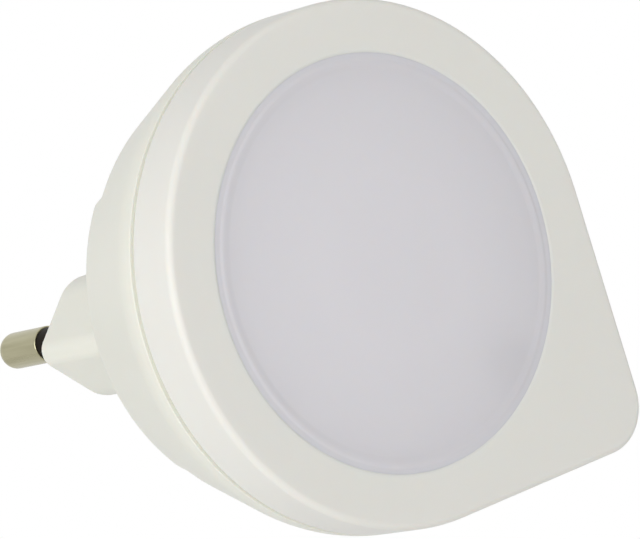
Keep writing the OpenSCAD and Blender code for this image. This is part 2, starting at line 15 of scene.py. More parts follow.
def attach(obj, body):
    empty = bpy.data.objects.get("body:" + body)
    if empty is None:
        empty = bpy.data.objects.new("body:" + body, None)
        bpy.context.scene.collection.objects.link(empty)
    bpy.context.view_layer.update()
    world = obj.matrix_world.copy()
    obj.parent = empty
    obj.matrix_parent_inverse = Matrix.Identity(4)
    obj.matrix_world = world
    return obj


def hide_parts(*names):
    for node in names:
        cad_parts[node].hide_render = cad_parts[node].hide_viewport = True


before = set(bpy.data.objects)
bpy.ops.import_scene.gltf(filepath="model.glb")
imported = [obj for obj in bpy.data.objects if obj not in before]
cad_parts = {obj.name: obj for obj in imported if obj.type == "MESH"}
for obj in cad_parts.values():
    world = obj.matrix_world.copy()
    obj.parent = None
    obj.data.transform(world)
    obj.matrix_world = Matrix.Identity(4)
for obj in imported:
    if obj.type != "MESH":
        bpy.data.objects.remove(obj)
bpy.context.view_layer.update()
MM = 0.001


def side_of(name, axis, side):
    """One side of a CAD node's box, in millimetres: axis is 0, 1 or 2, and side is min or max."""
    return round(side(vertex.co[axis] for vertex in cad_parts[name].data.vertices) / MM, 2)


print("CAD nodes:", len(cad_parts))

# %% [markdown]
# ## Colours
# Colours are written as a paint chart gives them, from 0 to 255. Blender wants light values, so each one is
# taken through the display's curve first.

# %% Colours
def paint(red, green, blue):
    """A display colour, 0 to 255, as a shader's light values, by the display's standard curve."""
    def light(value):
        value /= 255
        return value / 12.92 if value <= 0.04045 else ((value + 0.055) / 1.055) ** 2.4
    return (light(red), light(green), light(blue), 1.0)


print("White paint:", paint(255, 255, 255))

# %% [markdown]
# ## Node maths as plain Python
# A material is a small sum over sockets. One class wraps an output socket and answers to + - * /, so that a
# sum reads as it would on paper. A second class adds any node by its type, its settings and its inputs.

# %% Node helpers
class Wire:
    """An output socket that takes Python's own operators."""
    def __init__(self, nodes, socket):
        self.nodes, self.socket = nodes, socket

    def maths(self, operation, *values):
        return self.nodes.add("ShaderNodeMath", {"operation": operation}, dict(enumerate(values)))

    def __add__(self, other):
        return self.maths("ADD", self, other)

    def __radd__(self, other):
        return self.maths("ADD", other, self)

    def __sub__(self, other):
        return self.maths("SUBTRACT", self, other)

    def __rsub__(self, other):
        return self.maths("SUBTRACT", other, self)

    def __mul__(self, other):
        return self.maths("MULTIPLY", self, other)

    def __rmul__(self, other):
        return self.maths("MULTIPLY", other, self)

    def __truediv__(self, other):
        return self.maths("DIVIDE", self, other)

    def __pow__(self, other):
        return self.maths("POWER", self, other)


class Nodes:
    """A node tree with one method that adds any node."""
    def __init__(self, tree):
        self.tree = tree

    def add(self, kind, settings={}, inputs={}, out=0):
        node = self.tree.nodes.new(kind)
        for name, value in settings.items():
            if name == "stops":
                while len(node.color_ramp.elements) < len(value):
                    node.color_ramp.elements.new(1.0)
                for stop, (place, colour) in zip(node.color_ramp.elements, value):
                    stop.position, stop.color = place, colour
            else:
                setattr(node, name, value)
        for name, value in inputs.items():
            if isinstance(value, Wire):
                self.tree.links.new(value.socket, node.inputs[name])
            else:
                node.inputs[name].default_value = value
        return Wire(self, node.outputs[out]) if len(node.outputs) else node

    def mix(self, factor, first, second):
        """A colour between two colours."""
        return self.add("ShaderNodeMix", {"data_type": "RGBA"}, {0: factor, 6: first, 7: second}, out=2)

    def place(self):
        """Each point's place on the piece, in metres."""
        return self.add("ShaderNodeTexCoord", out=3)

    def noise(self, scale, detail=2.0, stretch=(1, 1, 1)):
        """Soft noise from 0 to 1; scale is its cells to a metre."""
        spot = self.add("ShaderNodeMapping", {}, {"Vector": self.place(), "Scale": stretch})
        return self.add("ShaderNodeTexNoise", {}, {"Vector": spot, "Scale": scale, "Detail": detail})

    def bump(self, height, distance, strength=1.0):
        return self.add("ShaderNodeBump", {}, {"Height": height, "Distance": distance, "Strength": strength})


print("Node helpers ready")

# %% [markdown]
# ## Finishes
# The casing is moulded in a white plastic, and light spreads a little way under such a surface. One flat
# colour would look like paint on card. So every finish starts from one pattern: two close colours mixed by a
# slow noise, a roughness that drifts a little, and a fine, shallow grain as a bump. The photograph shows the
# rear shell a touch yellower than the bezel, so each of the two has its own white.

# %% Finishes for any piece
SPREAD = 1.0 * MM              # how far light travels in white plastic
SPREAD_TINT = (1.0, 0.7, 0.5)  # red light travels furthest, which warms the narrow joints
FINE_GRAIN = 3500              # cells to a metre in a moulding's grain


def new_finish(name):
    """An empty material with its shader; returns the material, its nodes and the shader."""
    material = bpy.data.materials.new(name)
    material.use_nodes = True
    return material, Nodes(material.node_tree), material.node_tree.nodes["Principled BSDF"]


def wire_up(nodes, shader, **sockets):
    """Sets or links the shader's sockets; Base_Color stands for Base Color."""
    for name, value in sockets.items():
        socket = shader.inputs[name.replace("_", " ")]
        if isinstance(value, Wire):
            nodes.tree.links.new(value.socket, socket)
        else:
            socket.default_value = value


def moulded(name, light, dark, roughness=0.35, grain=0.004, sheen=0.5, slow=90, glow=0.0):
    """Moulded plastic or resin: light and dark are its two close colours, grain the bump in millimetres,
    and glow the share of light that spreads a little way under the surface."""
    material, nodes, shader = new_finish(name)
    cloud = nodes.noise(slow, 3)
    fine = nodes.noise(FINE_GRAIN, 2)
    wire_up(nodes, shader,
            Base_Color=nodes.mix(cloud, dark, light),
            Roughness=roughness + (cloud - 0.5) * 0.1,
            Normal=nodes.bump(fine, grain * MM),
            Specular_IOR_Level=sheen)
    if glow:
        wire_up(nodes, shader,
                Subsurface_Weight=glow, Subsurface_Scale=SPREAD, Subsurface_Radius=SPREAD_TINT)
    return material


casing_white = moulded("casing_white", paint(227, 226, 220), paint(225, 224, 218), 0.42, sheen=0.35, glow=0.3)
casing_rear = moulded("casing_rear", paint(228, 228, 218), paint(226, 226, 216), 0.42, sheen=0.35, glow=0.3)
sleeve_black = moulded("sleeve_black", paint(27, 22, 15), paint(21, 17, 11), 0.5, sheen=0.08)
print("Plastics ready")

# %% [markdown]
# ## The lens
# The lens is opal plastic over a white tray. It looks a little darker towards its rim, where less light comes
# back out, and the dusk sensor behind it shows as a small soft spot in a wider, faint shade. A clear layer
# over a model of the inside would need many light bounces to give the same. So both are painted shade in the
# lens's colour, which does not change with the camera: a ramp that darkens it over the distance from the
# lens's axis, and soft spots round the sensor's place.

# %% Opal finish
LENS_R = 21.5         # the radius at which the rim's painted shade ends
# The painted shade towards the rim: each stop is a share of LENS_R, and how bright the lens is painted there.
RIM_PAINTED_SHADE = ((0.0, 1.0), (0.42, 1.0), (0.7, 0.972), (0.85, 0.945), (0.94, 0.912), (1.0, 0.932))
PAINTED_SENSOR_SHADE = ((13.4, -13.4, 1.5, 0.025), (11.0, -14.1, 3.4, 0.058))   # painted shade of the sensor behind the lens: x, z, reach in mm, and darkness
PAINTED_SHADE_COLOUR = (0.02, 0.02, 0.025, 1)        # the colour that the sensor's painted shade leans towards
OPAL_CLOUD, OPAL_GRAIN = 120, 3000          # cells to a metre in its slow drift and in its grain


def distance_mm(nodes, x, z):
    """Distance in millimetres from the line through x, z that runs front to back."""
    spot = nodes.add("ShaderNodeVectorMath", {"operation": "SUBTRACT"},
                     {0: nodes.place(), 1: (x * MM, 0, z * MM)})
    flat = nodes.add("ShaderNodeVectorMath", {"operation": "MULTIPLY"}, {0: spot, 1: (1000, 0, 1000)})
    return nodes.add("ShaderNodeVectorMath", {"operation": "LENGTH"}, {0: flat}, out=1)


def opal_finish():
    material, nodes, shader = new_finish("opal_lens")
    # Painted shade: the lens's colour darkens towards its rim, where less light comes back out.
    reach = distance_mm(nodes, 0, 0) / LENS_R
    stops = [(share, (shade, shade, shade, 1)) for share, shade in RIM_PAINTED_SHADE]
    rim = nodes.add("ShaderNodeValToRGB", {"stops": stops}, {0: reach})
    # Painted shade: the sensor behind the lens, as a small soft dark spot inside a wider, faint one.
    spot = 0.0
    for x, z, wide, dark in PAINTED_SENSOR_SHADE:
        away = distance_mm(nodes, x, z) / wide
        spot = nodes.add("ShaderNodeMath", {"operation": "EXPONENT"}, {0: away ** 2.0 * -1.0}) * dark + spot
    cloud = nodes.noise(OPAL_CLOUD, 3)
    body = nodes.mix(cloud, paint(218, 216, 220), paint(219, 217, 221))
    shaded = nodes.add("ShaderNodeMix", {"data_type": "RGBA", "blend_type": "MULTIPLY"},
                       {0: 1.0, 6: body, 7: rim}, out=2)
    wire_up(nodes, shader,
            Base_Color=nodes.mix(spot, shaded, PAINTED_SHADE_COLOUR),
            Roughness=0.4 + (cloud - 0.5) * 0.08,
            Specular_IOR_Level=0.35,
            Subsurface_Weight=0.3, Subsurface_Scale=SPREAD, Subsurface_Radius=SPREAD_TINT,
            Normal=nodes.bump(nodes.noise(OPAL_GRAIN), 0.003 * MM))
    return material


opal_lens = opal_finish()
print("Opal finish ready")

# %% [markdown]
# ## Plated pins
# The pins are turned brass with a nickel plate that has yellowed a little. Turning leaves fine rings, and use
# leaves streaks along the pin. A photograph of metal would bring its own reflections along. So one noise
# drawn out along the pin gives the streaks to the colour and the roughness, and another, squeezed along the
# pin, gives the rings to the bump.

# %% Pin finish
PIN_MARKS = 900       # cells to a metre in the rings and the streaks, before they are stretched


def pin_finish():
    material, nodes, shader = new_finish("pin_metal")
    rings = nodes.noise(PIN_MARKS, 2, stretch=(0.2, 6, 0.2))
    streaks = nodes.noise(PIN_MARKS, 3, stretch=(1, 0.06, 1))
    wire_up(nodes, shader,
            Base_Color=nodes.mix(streaks, paint(128, 123, 94), paint(200, 196, 166)),
            Metallic=1.0,
            Roughness=0.2 + streaks * 0.18,
            Normal=nodes.bump(rings, 0.004 * MM))
    return material


pin_metal = pin_finish()
print("Pin finish ready")

# %% [markdown]
# ## The casing's outline
# Seen from the front, the casing is a circle whose lower right quarter is squared off, with a small rounding
# at that corner. A cylinder joined to a box would leave uneven faces where the two meet. Every wall of the
# casing follows this outline at some distance inside it, so one function gives the outline as samples: a
# point, and the direction that points outwards there.

# %% Outline
FRONT = -side_of("front_bezel", 1, min)    # depth of the pin face behind the front plane
BODY_R = side_of("front_bezel", 0, max)    # radius of the round part, and half the width
CORNER_R = 5.4                             # rounding of the square corner
WALL = 1.6                                 # thickness of both shells
BESIDE = 0.06                              # from a bend to the extra ring that keeps its shading clean
BESIDE_FINE = 0.04                         # the same beside the finest bends
BESIDE_NECK = 0.08                         # and on the neck


def outline_samples(radius, corner, quarter=72, side_steps=10, corner_steps=14):
    """Points and outward directions round the casing, starting at the top and going left."""
    points, ways = [], []
    for i in range(2 * quarter + 1):
        turn = math.radians(90 + 90 * i / quarter)
        points.append((radius * math.cos(turn), radius * math.sin(turn)))
        ways.append((math.cos(turn), math.sin(turn)))
    middle = radius - corner
    for i in range(1, side_steps + 1):
        points.append((middle * i / side_steps, -radius))
        ways.append((0.0, -1.0))
    for i in range(1, corner_steps + 1):
        turn = math.radians(-90 + 90 * i / corner_steps)
        points.append((middle + corner * math.cos(turn), -middle + corner * math.sin(turn)))
        ways.append((math.cos(turn), math.sin(turn)))
    for i in range(1, side_steps + 1):
        points.append((radius, -middle + middle * i / side_steps))
        ways.append((1.0, 0.0))
    for i in range(1, quarter):
        turn = math.radians(90 * i / quarter)
        points.append((radius * math.cos(turn), radius * math.sin(turn)))
        ways.append((math.cos(turn), math.sin(turn)))
    return np.array(points), np.array(ways)


rim_points, rim_ways = outline_samples(BODY_R, CORNER_R)
print("Outline samples:", len(rim_points))

# %% [markdown]
# ## Meshes from rings
# A casing wall is a stack of rings that all follow the outline. This helper joins ring to ring with faces,
# and gives the mesh smooth shading with sharp corners only where the surface really turns.

# %% Mesh helpers
def arc(cx, cy, radius, start, end, steps):
    """Points on an arc, from one angle to another, in degrees."""
    turns = [math.radians(start + (end - start) * i / steps) for i in range(steps + 1)]
    return [(cx + radius * math.cos(t), cy + radius * math.sin(t)) for t in turns]


def row_frame(x, depth, z):
    """From millimetres and depth behind the front plane to metres in the frame."""
    return (x * MM, (depth - FRONT) * MM, z * MM)


def finish_piece(name, points, faces, material, angle=32):
    """A named mesh object from points and faces, with doubles merged and faces turned outwards."""
    mesh = bpy.data.meshes.new(name)
    mesh.from_pydata([tuple(p) for p in points], [], faces)
    piece = bpy.data.objects.new(name, mesh)
    bpy.context.scene.collection.objects.link(piece)
    tidy(mesh, angle)
    mesh.materials.append(material)
    return piece


def tidy(mesh, angle=32, gap=1e-7):
    """Merges doubles, turns the faces outwards and smooths all but the sharp edges."""
    work = bmesh.new()
    work.from_mesh(mesh)
    bmesh.ops.remove_doubles(work, verts=work.verts, dist=gap)
    bmesh.ops.dissolve_degenerate(work, dist=gap, edges=work.edges)
    bmesh.ops.recalc_face_normals(work, faces=work.faces)
    work.to_mesh(mesh)
    work.free()
    mesh.polygons.foreach_set("use_smooth", [True] * len(mesh.polygons))
    mesh.set_sharp_from_angle(angle=math.radians(angle))


def ring_faces(rings, across, first=0, closed=True):
    """Faces between rings of points, each ring having as many points; closed joins each ring's ends."""
    faces = []
    for r in range(rings - 1):
        for i in range(across if closed else across - 1):
            a, b = first + r * across + i, first + r * across + (i + 1) % across
            faces.append((a, b, b + across, a + across))
    return faces

# %% [markdown]
# ## The front bezel
# The bezel is the white front shell that holds the lens. It could be a bevelled solid, but a bevel treats all
# edges alike, and these differ: a soft dip round the lens, a rounded edge in front, and a nearly sharp lip at
# the joint. So its section is drawn once, from the lens hole over the front to the joint and back inside. The
# hole is a circle and the outside is the outline, so each section leads from one to the other.

# %% Front bezel
SEAM = 6.3            # depth of the joint between the shells
HOLE_R = 21.6         # where the bezel meets the lens
BEZEL_T = 1.8         # thickness of the front
DIP_R, DIP_LEAN = 1.1, 20.0   # the soft dip round the hole: its bend, and how far it leans at the hole
DIP = DIP_R * (1 - math.cos(math.radians(DIP_LEAN)))
FRONT_EDGE = 0.72     # rounding of the front edge
JOINT_D = 0.45        # depth of the groove along the joint
JOINT_EDGE = 0.08     # rounding of the groove's two edges
JOINT_HALF = 0.31     # half of the groove's width


def bezel_sections():
    """The section as steps of (kind, distance, depth). For hole the distance is a radius, and for rim it is
    measured inwards from the outline."""
    flat = HOLE_R + DIP_R * math.sin(math.radians(DIP_LEAN))
    steps = [("hole", HOLE_R, BEZEL_T), ("hole", HOLE_R, DIP + BESIDE_FINE)]
    steps += [("hole", r, d) for r, d in arc(flat, DIP_R, DIP_R, 270 - DIP_LEAN, 270, 8)]
    steps += [("hole", flat + BESIDE_FINE, 0.0), ("rim", FRONT_EDGE + BESIDE_FINE, 0.0)]
    steps += [("rim", FRONT_EDGE - x, d) for x, d in arc(0, FRONT_EDGE, FRONT_EDGE, 270, 360, 10)]
    lip = SEAM - JOINT_HALF - JOINT_EDGE
    steps += [("rim", 0.0, FRONT_EDGE + BESIDE), ("rim", 0.0, lip - BESIDE)]
    steps += [("rim", JOINT_EDGE - x, d) for x, d in arc(0, lip, JOINT_EDGE, 0, 90, 4)]
    steps += [("rim", JOINT_D, SEAM - JOINT_HALF), ("rim", JOINT_D, SEAM), ("rim", WALL, SEAM),
              ("rim", WALL, BEZEL_T)]
    return steps


def bezel_mesh():
    points, steps = [], bezel_sections()
    for kind, distance, depth in steps:
        for (x, z), (wx, wz) in zip(rim_points, rim_ways):
            if kind == "rim":
                points.append(row_frame(x - wx * distance, depth, z - wz * distance))
            else:
                span = math.hypot(x, z)
                points.append(row_frame(x / span * distance, depth, z / span * distance))
    across = len(rim_points)
    faces = ring_faces(len(steps), across)
    last = (len(steps) - 1) * across
    faces += [(last + i, last + (i + 1) % across, (i + 1) % across, i) for i in range(across)]
    return points, faces


front_bezel = finish_piece("front_bezel_skin", *bezel_mesh(), casing_white)
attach(front_bezel, "root")
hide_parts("front_bezel")
print("Bezel faces:", len(front_bezel.data.polygons))

# %% [markdown]
# ## The lens's shape
# The lens fills the bezel's hole almost level with it. It has a very low crown, a soft bead along its rim, a
# level band beside the hole, and a hidden flange behind the bezel's front. Shaping it by hand would leave
# ripples in the reflections. Its depth at each radius is one sum, so a profile spun round the axis gives it
# exactly.

# %% Lens
CROWN = 0.6                     # how far the lens's middle stands before its rim
BAND_W = 0.5                    # width of the level band inside the hole
RISE_W, RISE_H = 0.5, 0.07      # the bead's outer side: its width and height
FALL_W, FALL_H = 0.8, 0.042     # and its inner side
GAP = 0.004                     # between the lens and the hole
SEAT_R = side_of("lens", 0, max)               # radius of the hidden flange
LENS_BACK = FRONT + side_of("lens", 1, max)    # depth of the flange's back
CUP_R, CUP_FLOOR = 20.9, 1.3    # the hollow behind the lens: its radius, and the depth of its floor


def spin(profile, steps=192):
    """A closed solid from a profile of (radius, depth) points spun round the front-to-back axis."""
    points, rings = [], len(profile)
    for radius, depth in profile:
        for i in range(steps):
            turn = 2 * math.pi * i / steps
            points.append(row_frame(radius * math.cos(turn), depth, radius * math.sin(turn)))
    return points, ring_faces(rings, steps)


def soft_step(value, start, width):
    """From 0 to 1 over the width, level at both ends."""
    share = min(1.0, max(0.0, (value - start) / width))
    return (1 - math.cos(math.pi * share)) / 2


def lens_depth(radius, edge):
    """Depth of the lens's front: a low crown, then a soft bead, then a level band beside the hole."""
    flat = edge - BAND_W - RISE_W - FALL_W
    ball = (flat * flat + CROWN * CROWN) / (2 * CROWN)
    crown = math.sqrt(ball * ball - min(radius, flat) ** 2) - ball + CROWN
    lift = RISE_H - FALL_H + FALL_H * soft_step(radius, flat, FALL_W) - RISE_H * soft_step(
        radius, flat + FALL_W, RISE_W)
    return DIP - crown - lift


def lens_profile():
    """(radius, depth) from the middle of the front over the rim to the flange and the hollow back."""
    edge = HOLE_R - GAP
    turn = edge - BAND_W - RISE_W - FALL_W
    radii = list(np.linspace(0, turn, 24)) + list(np.linspace(turn, edge - BAND_W, 22)[1:]) + [edge]
    front = [(float(r), lens_depth(r, edge)) for r in radii]
    flange = [(edge, front[-1][1] + BESIDE_FINE), (edge, BEZEL_T), (SEAT_R, BEZEL_T),
              (SEAT_R, LENS_BACK), (CUP_R, LENS_BACK), (CUP_R, CUP_FLOOR), (0, CUP_FLOOR)]
    return front + flange


lens = finish_piece("lens_skin", *spin(lens_profile()), opal_lens)
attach(lens, "root")
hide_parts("lens")
print("Lens faces:", len(lens.data.polygons))

# %% [markdown]
# ## The rear shell
# The rear shell is the socket's side of the light. It has a straight wall behind the joint, a soft bend, a
# sloping side that lets it leave its mould, and a raised band across its back. Cutting the band out of a
# sloping solid would leave thin slivers of faces. But the band's depth depends on height alone. So the back
# is made of level rows, and each row ends on the sloping side at the depth that the band gives it. The same
# rows carry the wall's samples, so every edge of the band falls on an edge of the mesh.

# %% Rear shell: section and rows
SLOPE = math.radians(20.5)         # the side's lean
SLOPE_START = 8.3                  # depth at which the straight wall and the slope would meet
BEND_R = 8.0                       # the soft bend between them
STEP, BAND = 19.5, 22.0            # depths of the back's low part and of its band
BAND_TOP, BAND_FOOT = 13.9, 14.6   # heights of the band's edge and of its foot
TOP_SOFT, FOOT_SOFT = 0.35, 0.25   # how far the bends at these two reach
EDGE = 0.3                         # rounding of the back's edge
EDGE_REACH = EDGE * math.tan((math.pi / 2 - SLOPE) / 2)
ROW_GAP = 0.1                      # least height between the band's foot and the next row
PAST_BEND = 0.1                    # from the soft bend's end to the next ring


def side_inset(depth):
    """How far the side stands inside the outline at this depth, with the soft bend's arc."""
    back = BEND_R * math.tan(SLOPE / 2)
    start, end = SLOPE_START - back, SLOPE_START + back * math.cos(SLOPE)
    if depth <= start:
        return 0.0
    if depth >= end:
        return (depth - SLOPE_START) * math.tan(SLOPE)
    return BEND_R - math.sqrt(BEND_R ** 2 - (depth - start) ** 2)


def soft_corner(start, corner, end, steps=6):
    """Points on a smooth bend from start to end round a corner point."""
    out = []
    for i in range(steps + 1):
        t = i / steps
        out.append(tuple((1 - t) ** 2 * s + 2 * t * (1 - t) * c + t * t * e
                         for s, c, e in zip(start, corner, end)))
    return out


def band_edge(inset):
    """(height, depth) points over the band's edge, from its flat to the step, drawn in by inset."""
    top, foot = (BAND_TOP - inset, BAND - inset), (BAND_FOOT - inset, STEP - inset)
    slant = math.hypot(foot[0] - top[0], foot[1] - top[1])
    along = ((foot[0] - top[0]) / slant, (foot[1] - top[1]) / slant)
    near = lambda point, way, reach: (point[0] + way[0] * reach, point[1] + way[1] * reach)
    upper = soft_corner(near(top, (-1, 0), TOP_SOFT), top, near(top, along, TOP_SOFT))
    lower = soft_corner(near(foot, along, -FOOT_SOFT), foot, near(foot, (1, 0), FOOT_SOFT))
    return [near(upper[0], (-1, 0), BESIDE)] + upper + lower + [near(lower[-1], (1, 0), BESIDE)]


def level_rows(radius, extra, inset, low_rows=25, low_turn=48, band_rows=22):
    """Rows of (height, depth) from the top of the back to its bottom. The low part's rows are spaced along
    the round outline, over low_turn degrees from its top, and the band's rows are spaced evenly."""
    edge = band_edge(inset)
    reach = radius - side_inset(STEP - inset) - extra - EDGE_REACH
    far = [(reach * math.sin(math.radians(90 - t)), STEP - inset) for t in np.linspace(0, low_turn, low_rows)]
    upper = [row for row in far if row[0] > edge[-1][0] + ROW_GAP] + edge[::-1]
    half = [(z, BAND - inset) for z in np.linspace(edge[0][0], 0, band_rows)[1:-1]]
    top = upper + half
    return top + [(0.0, BAND - inset)] + [(-z, d) for z, d in reversed(top)]


print("Rows across the back:", len(level_rows(BODY_R, 0, 0)))

# %% [markdown]
# Each row meets the outline twice: on the round left side, and on the right, which is round above and
# square below. At the bottom the last row lies along the straight edge itself. The shell has an outer and an
# inner skin, because it is a real wall, and both come from the same function at two distances.

# %% Rear shell: skins
COLUMNS = 14          # faces along each row
INNER_MIDDLE = 20.8   # where the inner skin's corner starts, along x and z


def row_ends(z, depth, radius, middle, extra):
    """The outline's points and outward ways at the left and right end of a row."""
    drawn = side_inset(depth) + extra + EDGE_REACH
    reach = radius - drawn
    sine = max(-1.0, min(1.0, z / reach))
    cosine = math.sqrt(1 - sine * sine)
    left = ((-radius * cosine, radius * sine), (-cosine, sine))
    if z >= 0:
        return left, ((radius * cosine, radius * sine), (cosine, sine))
    if z >= -middle:
        return left, ((radius, z), (1.0, 0.0))
    corner = radius - middle
    sine = max(-1.0, (z + middle) / (corner - drawn))
    cosine = math.sqrt(1 - sine * sine)
    return left, ((middle + corner * cosine, -middle + corner * sine), (cosine, sine))


def side_section(depth, extra, start):
    """(inset, depth) points down the side, ending on the back's flat after a soft edge."""
    back = BEND_R * math.tan(SLOPE / 2)
    bend = np.linspace(SLOPE_START - back, SLOPE_START + back * math.cos(SLOPE), 10)
    inside = lambda d: max(0.0, side_inset(d) + extra)
    past = bend[-1] + PAST_BEND
    points = list(start) + [(inside(d), d) for d in bend] + [(inside(past), past)]
    corner = (side_inset(depth) + extra, depth)
    before = (corner[0] - EDGE_REACH * math.sin(SLOPE), corner[1] - EDGE_REACH * math.cos(SLOPE))
    soft = soft_corner(before, corner, (corner[0] + EDGE_REACH, depth))
    ahead = (before[0] - BESIDE * math.sin(SLOPE), before[1] - BESIDE * math.cos(SLOPE))
    return points + [ahead] + soft


def rear_skin(radius, middle, extra, inset, start):
    """One skin of the rear shell: points, faces and the number of samples round its front rim."""
    rows = level_rows(radius, extra, inset)
    ends = [row_ends(z, d, radius, middle, extra) for z, d in rows]
    samples = [(*left, row[1]) for (left, right), row in zip(ends, rows)]
    floor = rows[-1][1]
    samples += [((middle * k / COLUMNS, -radius), (0.0, -1.0), floor) for k in range(1, COLUMNS)]
    samples += [(*right, row[1]) for (left, right), row in list(zip(ends, rows))[:0:-1]]
    sections = [side_section(depth, extra, start) for point, way, depth in samples]
    rings, across, points = len(sections[0]), len(samples), []
    for r in range(rings):
        for (point, way, depth), section in zip(samples, sections):
            drawn, deep = section[r]
            points.append(row_frame(point[0] - way[0] * drawn, deep, point[1] - way[1] * drawn))
    faces = ring_faces(rings, across)
    base, last = len(points), (rings - 1) * across
    for i in range(len(rows)):
        a = np.array(points[last + i])
        b = np.array(points[last + (across - i) % across if i < len(rows) - 1
                            else last + len(rows) - 1 + COLUMNS])
        points += [tuple(a + (b - a) * k / COLUMNS) for k in range(COLUMNS + 1)]
    faces += ring_faces(len(rows), COLUMNS + 1, base, closed=False)
    return points, faces, across


def rear_shell_mesh():
    """The outer and the inner skin, joined round the rim at the joint."""
    foot = SEAM + JOINT_HALF + JOINT_EDGE
    lip = [(JOINT_D, SEAM), (JOINT_D, SEAM + JOINT_HALF)]
    lip += [(JOINT_EDGE - x, foot - d) for x, d in arc(0, 0, JOINT_EDGE, 90, 0, 4)]
    outer, faces, across = rear_skin(BODY_R, BODY_R - CORNER_R, 0.0, 0.0, lip + [(0.0, foot + BESIDE)])
    thicker = round(WALL * (1 / math.cos(SLOPE) - 1), 3)    # keeps the wall's thickness on the slope
    inner, more, _ = rear_skin(BODY_R - WALL, INNER_MIDDLE, thicker, WALL, [(0.0, SEAM)])
    shift = len(outer)
    faces += [tuple(v + shift for v in face) for face in more]
    faces += [(i, (i + 1) % across, shift + (i + 1) % across, shift + i) for i in range(across)]
    return outer + inner, faces


rear_shell = finish_piece("rear_shell_skin", *rear_shell_mesh(), casing_rear, angle=30)
print("Rear shell faces:", len(rear_shell.data.polygons))

# %% [markdown]
# ## The plug's neck
# The neck is a long hexagon with two round tips and four round shoulders, so that it fits a socket's recess.
# It could be a piece of its own that dips into the band, but the CAD model has it in one with the shell, and
# a line would show between the two. So it is a stack of rings too, with a small bend where it leaves the
# band and a soft edge at the pin face. It is joined to the shell, and two round holes, 4 mm deep, take the
# pins at the pin face. The cut for the neck's hollow is made too, but it takes no material away. That is a
# fault that no outside view shows: behind the holes this neck stays solid, round the pins' inner ends.

# %% Neck
NECK_W, NECK_H = 36.4, 13.1
NECK_TIP_R, NECK_SHOULDER_R = 1.9, 4.6
ROOT_R, FACE_EDGE = 0.42, 0.3             # the bend at the band and the rounding at the pin face
ROOT_DEEP = 0.6                           # how far the neck's solid reaches into the band
NECK_WALL = 2.0                           # from the neck's outside to the hollow's cutter
HOLLOW_START, HOLLOW_END = 19.0, 35.4     # depths of the hollow's cutter
BORE_START, BORE_END = 34.0, 39.0         # depths between which the pins' holes are cut
PIN_X = round((side_of("right_pin", 0, min) + side_of("right_pin", 0, max)) / 2, 2)
PIN_HOLE_R = 2.05


def neck_outline(inset):
    """Points round the neck, drawn in by inset, with a point close to each end of an arc."""
    tip_r, shoulder_r, half = NECK_TIP_R, NECK_SHOULDER_R, NECK_H / 2
    tip_x = NECK_W / 2 - tip_r
    shoulder_x = tip_x + tip_r * math.sqrt(2) - half - shoulder_r * (math.sqrt(2) - 1)
    shoulder_z = half - shoulder_r
    out = []
    for cx, cz, radius, start, end, steps in (
            (tip_x, 0, tip_r, -45, 45, 16), (shoulder_x, shoulder_z, shoulder_r, 45, 90, 8),
            (-shoulder_x, shoulder_z, shoulder_r, 90, 135, 8), (-tip_x, 0, tip_r, 135, 225, 16),
            (-shoulder_x, -shoulder_z, shoulder_r, 225, 270, 8),
            (shoulder_x, -shoulder_z, shoulder_r, 270, 315, 8)):
        bend = arc(cx, cz, radius - inset, start, end, steps)
        for (x, z), turn, way in ((bend[0], start, -1), (bend[-1], end, 1)):
            ahead = math.radians(turn + 90 * way)
            extra = (x + BESIDE_NECK * math.cos(ahead), z + BESIDE_NECK * math.sin(ahead))
            bend = [extra] + bend if way < 0 else bend + [extra]
        out += bend
    return out


def prism(name, rings):
    """A closed solid on the neck's outline, from (inset, depth) rings."""
    points, across = [], len(neck_outline(0))
    for inset, depth in rings:
        points += [row_frame(x, depth, z) for x, z in neck_outline(inset)]
    faces = ring_faces(len(rings), across)
    faces += [tuple(range(across)), tuple(range(len(points) - across, len(points)))]
    return finish_piece(name, points, faces, casing_rear)


def neck_rings():
    """(inset, depth) from inside the band, round the bend at the root, to the soft edge of the pin face."""
    root = [(-ROOT_R, BAND - ROOT_DEEP), (-ROOT_R, BAND - BESIDE_FINE)]
    root += [(x - ROOT_R, d) for x, d in arc(0, BAND + ROOT_R - BESIDE_FINE, ROOT_R, -90, 0, 6)][1:]
    side = [(0.0, BAND + ROOT_R + BESIDE_NECK), (0.0, FRONT - FACE_EDGE - BESIDE)]
    edge = arc(0, FRONT - FACE_EDGE, FACE_EDGE, 0, 90, 6)
    return root + side + [(FACE_EDGE - x, d) for x, d in edge]


def join_solids(target, other, operation):
    """Adds one closed solid to another or cuts it away, and applies the result."""
    step = target.modifiers.new(operation.lower(), "BOOLEAN")
    step.operation, step.solver, step.object = operation, "EXACT", other
    shape = bpy.data.meshes.new_from_object(target.evaluated_get(bpy.context.evaluated_depsgraph_get()))
    target.modifiers.remove(step)
    target.data = shape
    bpy.data.objects.remove(other)


def bore(x, radius, start, end):
    """A round cutter at x that runs from one depth to another."""
    points, faces = spin([(0, start), (radius, start), (radius, end), (0, end)], 64)
    points = [(px + x * MM, py, pz) for px, py, pz in points]
    return finish_piece("cutter", points, faces, casing_rear)


join_solids(rear_shell, prism("neck", neck_rings()), "UNION")
hollow = [(NECK_WALL, HOLLOW_START), (NECK_WALL, HOLLOW_END)]
join_solids(rear_shell, prism("neck_hollow", hollow), "DIFFERENCE")
for side in (-1, 1):
    join_solids(rear_shell, bore(side * PIN_X, PIN_HOLE_R, BORE_START, BORE_END), "DIFFERENCE")
tidy(rear_shell.data, 30, gap=2e-7)
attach(rear_shell, "root")
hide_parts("rear_shell")
print("Rear shell with neck:", len(rear_shell.data.polygons))

